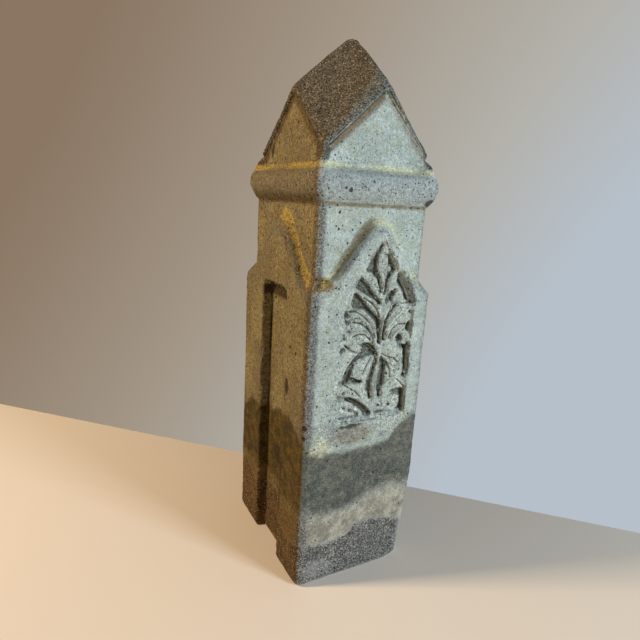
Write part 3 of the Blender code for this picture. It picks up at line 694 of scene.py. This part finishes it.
tree = stone.node_tree
shader = tree.nodes["Principled BSDF"]
coordinates = tree.nodes.new("ShaderNodeTexCoord")
in_millimetres = tree.nodes.new("ShaderNodeVectorMath")
in_millimetres.operation = "SCALE"
in_millimetres.inputs["Scale"].default_value = 1000.0
tree.links.new(coordinates.outputs["Object"], in_millimetres.inputs[0])
place = in_millimetres.outputs[0]


def kept(name):
    made = tree.nodes.new("ShaderNodeAttribute")
    made.attribute_name = name
    return made.outputs["Fac"]


def ragged(name, size, amount, soft, shift):
    """A kept share with its edge broken up by noise, and made crisp."""
    noise = worked(tree, "SUBTRACT", mottle(tree, place, size, 6.0, 0.7, shift), 0.5)
    field = worked(tree, "ADD", kept(name), worked(tree, "MULTIPLY", noise, amount))
    return between(tree, field, 0.5 - soft, 0.5 + soft)


def part_of(share, amount):
    return worked(tree, "MULTIPLY", share, amount)


wide_patches = mottle(tree, place, 42.0, 4.0, 0.6, 3.0)
small_patches = mottle(tree, place, 11.0, 5.0, 0.7, 40.0)
fine_patches = mottle(tree, place, 4.0, 4.0, 0.75, 70.0)
grain = mottle(tree, place, 1.5, 3.0, 0.8, 90.0)

# The skin, pale on the front and gold with algae on the left
gold_noise = worked(tree, "MULTIPLY", worked(tree, "SUBTRACT", small_patches, 0.5), 0.7)
gold = between(tree, worked(tree, "ADD", kept("gold"), gold_noise), 0.3, 0.8)
pale_share = between(tree, wide_patches, 0.38, 0.62)
pale_skin = tinted(tree, pale_share, swatch(174, 183, 174), swatch(191, 200, 191))
pale_skin = tinted(tree, between(tree, small_patches, 0.46, 0.68, 0.0, 0.6), pale_skin, swatch(172, 177, 150))
lilac_share = part_of(kept("pitted"), between(tree, small_patches, 0.54, 0.42))
pale_skin = tinted(tree, lilac_share, pale_skin, swatch(154, 157, 153))
gold_skin = tinted(tree, between(tree, wide_patches, 0.4, 0.62), swatch(126, 113, 84), swatch(142, 130, 92))
gold_skin = tinted(tree, between(tree, small_patches, 0.45, 0.7, 0.0, 0.6), gold_skin, swatch(128, 110, 54))
skin = tinted(tree, gold, pale_skin, gold_skin)
tan_color = tinted(tree, gold, swatch(128, 114, 92), swatch(104, 84, 50))
skin = tinted(tree, part_of(ragged("tan", 6.0, 0.7, 0.45, 43.0), 0.95), skin, tan_color)
grey_color = tinted(tree, gold, swatch(158, 164, 162), swatch(122, 112, 92))
skin = tinted(tree, part_of(ragged("grey", 12.0, 0.9, 0.35, 5.0), 0.8), skin, grey_color)

# The damp band, and the buff strip under it
damp = ragged("damp", 15.0, 1.0, 0.38, 11.0)
damp_pale = tinted(tree, between(tree, small_patches, 0.4, 0.62), swatch(80, 84, 77), swatch(112, 110, 98))
damp_gold = tinted(tree, between(tree, small_patches, 0.4, 0.62), swatch(62, 50, 18), swatch(98, 78, 30))
skin = tinted(tree, part_of(damp, 0.95), skin, tinted(tree, gold, damp_pale, damp_gold))
buff = ragged("buff", 13.0, 1.0, 0.42, 17.0)
buff_share = between(tree, small_patches, 0.4, 0.64)
buff_pale = tinted(tree, buff_share, swatch(142, 134, 118), swatch(184, 178, 158))
skin = tinted(tree, part_of(buff, 0.9), skin, tinted(tree, gold, buff_pale, swatch(104, 80, 38)))

# Lichen and soil on the ledges, painted shade under the band, the hollows darkened by dirt and painted shade,
# and painted highlights on the leaves' rims
lichen = ragged("lichen", 6.0, 1.3, 0.32, 23.0)
lichen_color = tinted(tree, gold, swatch(214, 211, 172), swatch(178, 153, 84))
skin = tinted(tree, part_of(lichen, 0.85), skin, lichen_color)
# Soil on the ledges, and painted shade under the band
soil_and_shade = ragged("soil_and_shade", 7.0, 0.9, 0.3, 37.0)
soil_and_shade_color = tinted(tree, gold, swatch(126, 112, 76), swatch(84, 66, 34))
skin = tinted(tree, part_of(soil_and_shade, 0.75), skin, soil_and_shade_color)
# Dirt and painted shade in the hollows
dirt_and_shade = ragged("hollow", 3.5, 0.9, 0.35, 31.0)
dirt_and_shade_color = tinted(tree, gold, swatch(72, 70, 54), swatch(60, 48, 26))
skin = tinted(tree, part_of(dirt_and_shade, 0.92), skin, dirt_and_shade_color)
# Painted highlights on the leaves' rims
skin = tinted(tree, part_of(kept("rim_highlight"), 0.85), skin, swatch(214, 218, 200))

speckle = worked(tree, "MULTIPLY", between(tree, grain, 0.3, 0.68, 0.62, 1.24),
                 between(tree, fine_patches, 0.3, 0.7, 0.8, 1.16))
speckle_color = tree.nodes.new("ShaderNodeCombineColor")
for channel in ("Red", "Green", "Blue"):
    tree.links.new(speckle, speckle_color.inputs[channel])
skin = tinted(tree, 1.0, skin, speckle_color.outputs["Color"], "MULTIPLY")
coarse_share = worked(tree, "MAXIMUM", worked(tree, "MAXIMUM", gold, damp), kept("pitted"))
coarse_share = worked(tree, "MAXIMUM", coarse_share, part_of(kept("grey"), 0.3))
skin = tinted(tree, part_of(coarse_share, 0.7), skin, speckle_color.outputs["Color"], "MULTIPLY")

# Bare sand at the foot and the arrises, and browner on the roof
sand = place_group(
    tree, sand_group, Place=place,
    Dark=tinted(tree, gold, swatch(104, 103, 98), swatch(82, 62, 38)),
    Light=tinted(tree, gold, swatch(166, 165, 158), swatch(146, 114, 72)),
    Gap=tinted(tree, gold, swatch(60, 57, 53), swatch(40, 32, 20)),
    Glint=tinted(tree, gold, swatch(202, 201, 192), swatch(176, 150, 110)),
)
verge = ragged("verge", 6.0, 0.8, 0.35, 67.0)
verge_dark = tinted(tree, gold, swatch(104, 107, 101), swatch(84, 68, 42))
verge_light = tinted(tree, gold, swatch(146, 151, 145), swatch(118, 98, 62))
roof_sand = place_group(
    tree, sand_group, Place=place,
    Dark=tinted(tree, verge, swatch(92, 82, 66), verge_dark),
    Light=tinted(tree, verge, swatch(142, 130, 108), verge_light),
    Gap=swatch(54, 46, 36), Glint=swatch(190, 180, 160),
)
arris_sand = place_group(
    tree, sand_group, Place=place,
    Dark=tinted(tree, gold, swatch(110, 109, 107), swatch(98, 84, 64)),
    Light=tinted(tree, gold, swatch(166, 169, 166), swatch(142, 126, 100)),
    Gap=tinted(tree, gold, swatch(72, 69, 64), swatch(58, 48, 36)),
    Glint=tinted(tree, gold, swatch(196, 196, 190), swatch(160, 146, 124)),
)
worn = ragged("worn", 4.5, 1.2, 0.3, 47.0)
gravel = ragged("gravel", 8.0, 1.0, 0.3, 53.0)
roof = ragged("roof", 6.0, 0.7, 0.3, 61.0)
chalk = ragged("chalk", 5.0, 0.8, 0.35, 71.0)
color = tinted(tree, part_of(worn, 0.85), skin, arris_sand["Color"])
color = tinted(tree, gravel, color, sand["Color"])
chalk_color = tinted(tree, gold, swatch(202, 203, 198), swatch(150, 128, 92))
color = tinted(tree, part_of(chalk, 0.6), color, chalk_color)
color = tinted(tree, roof, color, roof_sand["Color"])

# Holes that are plain to see, each at its own place: (x, y, z, radius)
MARKED_HOLES = (
    (-70.3, -48, 254, 1.8), (-70.3, -61, 251, 1.8), (-70.3, -68, 263, 1.1), (-70.3, 63, 308, 1.5),
    (-66, -11.5, 325, 2.0), (-64, -34, 323, 1.4), (-70.3, 49.5, 294, 1.3), (-70.3, 74, 283, 1.2),
    (-70.3, -34, 298, 1.2), (-70.3, 67, 246, 1.2), (-69, -85, 181, 3.2), (-69, -84, 170, 2.4),
    (-58.8, 18.5, 291, 1.5), (-58.8, 15, 172, 1.5), (-35, -86, 408, 2.2), (-35, -86, 404, 1.4),
    (-11, -78, 369, 1.3), (-30, -78, 360, 1.2), (-8, -78, 343, 1.2), (17, -84, 193, 1.8), (30, -84, 192, 1.6),
)
marked_away = 1000.0
for x, y, z, radius in MARKED_HOLES:
    from_middle = tree.nodes.new("ShaderNodeVectorMath")
    from_middle.operation = "DISTANCE"
    feed(tree, from_middle.inputs[0], place)
    from_middle.inputs[1].default_value = (x, y, z)
    rim_away = worked(tree, "SUBTRACT", from_middle.outputs["Value"], radius)
    marked_away = worked(tree, "MINIMUM", rim_away, marked_away)
marked_away = worked(tree, "ADD", marked_away, worked(tree, "SUBTRACT", fine_patches, 0.5))
marked = between(tree, marked_away, 0.3, -0.5)
hole_share = worked(tree, "SUBTRACT", 1.1, part_of(damp, 0.6))
hole_share = worked(tree, "ADD", hole_share, worked(tree, "MAXIMUM", kept("pitted"), part_of(gold, 1.25)))
holes = worked(tree, "MAXIMUM", place_group(tree, holes_group, Place=place, Share=hole_share)["Mask"], marked)
# The holes are painted dark, with the shade that falls in them
hole_shade_color = tinted(tree, gold, swatch(38, 36, 30), swatch(34, 26, 12))
color = tinted(tree, part_of(holes, 0.88), color, hole_shade_color)
tree.links.new(color, shader.inputs["Base Color"])

# The bump: grains stand out where sand is bare, the skin is a little rough, and holes are sunk
BUMP_HEIGHT = 0.0005
bare_share = worked(tree, "MAXIMUM", worked(tree, "MAXIMUM", gravel, part_of(worn, 0.85)), roof)
skin_share = worked(tree, "SUBTRACT", 1.0, bare_share)
relief = worked(tree, "ADD", worked(tree, "MULTIPLY", sand["Height"], bare_share),
                worked(tree, "MULTIPLY", part_of(grain, 1.1), skin_share))
relief = worked(tree, "ADD", relief, part_of(fine_patches, 1.2))
relief = worked(tree, "SUBTRACT", relief, part_of(holes, 2.2))
bump = tree.nodes.new("ShaderNodeBump")
bump.inputs["Strength"].default_value = 1.0
bump.inputs["Distance"].default_value = BUMP_HEIGHT
tree.links.new(relief, bump.inputs["Height"])
tree.links.new(bump.outputs["Normal"], shader.inputs["Normal"])
tree.links.new(between(tree, grain, 0.3, 0.7, 0.84, 0.97), shader.inputs["Roughness"])
shader.inputs["Specular IOR Level"].default_value = 0.25
casting.data.materials.clear()
casting.data.materials.append(stone)


# The floor that the casting stands on: plain and pale, and it ends at an edge that runs slantwise
# behind the casting.
FLOOR_BACK_LEFT = (-0.246, 0.423)
FLOOR_BACK_RIGHT = (0.311, -0.117)
FLOOR_LENGTH = 6.0
FLOOR_DEPTH = 3.0
FLOOR_THICKNESS = 0.04

back_left = Vector((*FLOOR_BACK_LEFT, 0.0))
back_run = (Vector((*FLOOR_BACK_RIGHT, 0.0)) - back_left).normalized()
outward = Vector((-back_run.y, back_run.x, 0.0))
floor_middle = back_left + back_run * 0.4 - outward * FLOOR_DEPTH / 2.0
bpy.ops.object.select_all(action="DESELECT")
bpy.ops.mesh.primitive_cube_add(
    size=1.0,
    location=(floor_middle.x, floor_middle.y, -FLOOR_THICKNESS / 2.0),
    rotation=(0.0, 0.0, math.atan2(back_run.y, back_run.x)),
    scale=(FLOOR_LENGTH, FLOOR_DEPTH, FLOOR_THICKNESS),
)
floor = bpy.context.object
floor.name = "floor"
floor_paint = bpy.data.materials.new("floor_paint")
floor_paint.use_nodes = True
floor_shader = floor_paint.node_tree.nodes["Principled BSDF"]
floor_shader.inputs["Base Color"].default_value = (0.9, 0.8, 0.68, 1.0)
floor_shader.inputs["Roughness"].default_value = 0.7
floor.data.materials.append(floor_paint)


# The light: a small warm lamp to the left, a larger cool one to the front right, and a pale surround,
# taupe on the warm side and bluer on the cool side. The surround is shown at its own brightness,
# and lights the casting at a share of it.
SURROUND_LIGHT_SHARE = 0.38
COOL_SIDE = (0.74, -0.39, -0.42)
SURROUND_SPREAD = 0.42
world = bpy.data.worlds.new("surround")
bpy.context.scene.world = world
world.use_nodes = True
surround = world.node_tree
direction = surround.nodes.new("ShaderNodeTexCoord")
towards_cool_side = surround.nodes.new("ShaderNodeVectorMath")
towards_cool_side.operation = "DOT_PRODUCT"
towards_cool_side.inputs[1].default_value = COOL_SIDE
surround.links.new(direction.outputs["Generated"], towards_cool_side.inputs[0])
surround_colors = surround.nodes.new("ShaderNodeValToRGB")
surround_colors.color_ramp.elements[0].position = 0.0
surround_colors.color_ramp.elements[0].color = swatch(138, 118, 99)
surround_colors.color_ramp.elements[1].position = 1.0
surround_colors.color_ramp.elements[1].color = swatch(182, 192, 202)
surround_colors.color_ramp.elements.new(0.38).color = swatch(162, 149, 133)
surround_colors.color_ramp.elements.new(0.75).color = swatch(179, 177, 170)
spread = surround.nodes.new("ShaderNodeMapRange")
spread.inputs["From Min"].default_value = -SURROUND_SPREAD
spread.inputs["From Max"].default_value = SURROUND_SPREAD
surround.links.new(towards_cool_side.outputs["Value"], spread.inputs["Value"])
surround.links.new(spread.outputs["Result"], surround_colors.inputs["Fac"])
background = surround.nodes["Background"]
surround.links.new(surround_colors.outputs["Color"], background.inputs["Color"])
ray = surround.nodes.new("ShaderNodeLightPath")
strength = surround.nodes.new("ShaderNodeMapRange")
strength.inputs["To Min"].default_value = SURROUND_LIGHT_SHARE
strength.inputs["To Max"].default_value = 1.0
surround.links.new(ray.outputs["Is Camera Ray"], strength.inputs["Value"])
surround.links.new(strength.outputs["Result"], background.inputs["Strength"])


AIMED_AT = Vector((0.0, 0.0, 0.25))


def soft_light(name, bearing, rise, distance, size, power, color):
    """A square light that looks at the casting from a bearing, and rises from the floor by degrees."""
    level = Vector((bearing[0], bearing[1], 0.0)).normalized()
    angle = math.radians(rise)
    spot = level * distance * math.cos(angle) + Vector((0.0, 0.0, distance * math.sin(angle)))
    lamp = bpy.data.lights.new(name, "AREA")
    lamp.shape = "SQUARE"
    lamp.size = size
    lamp.energy = power
    lamp.color = color
    item = bpy.data.objects.new(name, lamp)
    item.location = spot
    item.rotation_euler = (AIMED_AT - spot).to_track_quat("-Z", "Y").to_euler()
    bpy.context.scene.collection.objects.link(item)


soft_light("warm_lamp", (-0.958, 0.287), 42.0, 1.8, 0.22, 22.0, (1.0, 0.78, 0.54))
soft_light("cool_lamp", (0.46, -0.89), 23.0, 2.0, 0.45, 29.0, (0.74, 0.87, 1.0))


# The camera stands to the front left, at the height of the band, and looks a little down. Its lens
# and its place are those that bring the block's edges onto the photo's.
camera_data = bpy.data.cameras.new("camera")
camera_data.sensor_width = 36.0
camera_data.lens = 28.382
camera_data.clip_start = 0.01
camera = bpy.data.objects.new("camera", camera_data)
camera.location = (-0.277494, -0.485310, 0.398677)
camera.rotation_euler = (1.335792, -0.056426, -0.487085)
bpy.context.scene.collection.objects.link(camera)
bpy.context.scene.camera = camera
bpy.context.scene.view_settings.view_transform = "Standard"
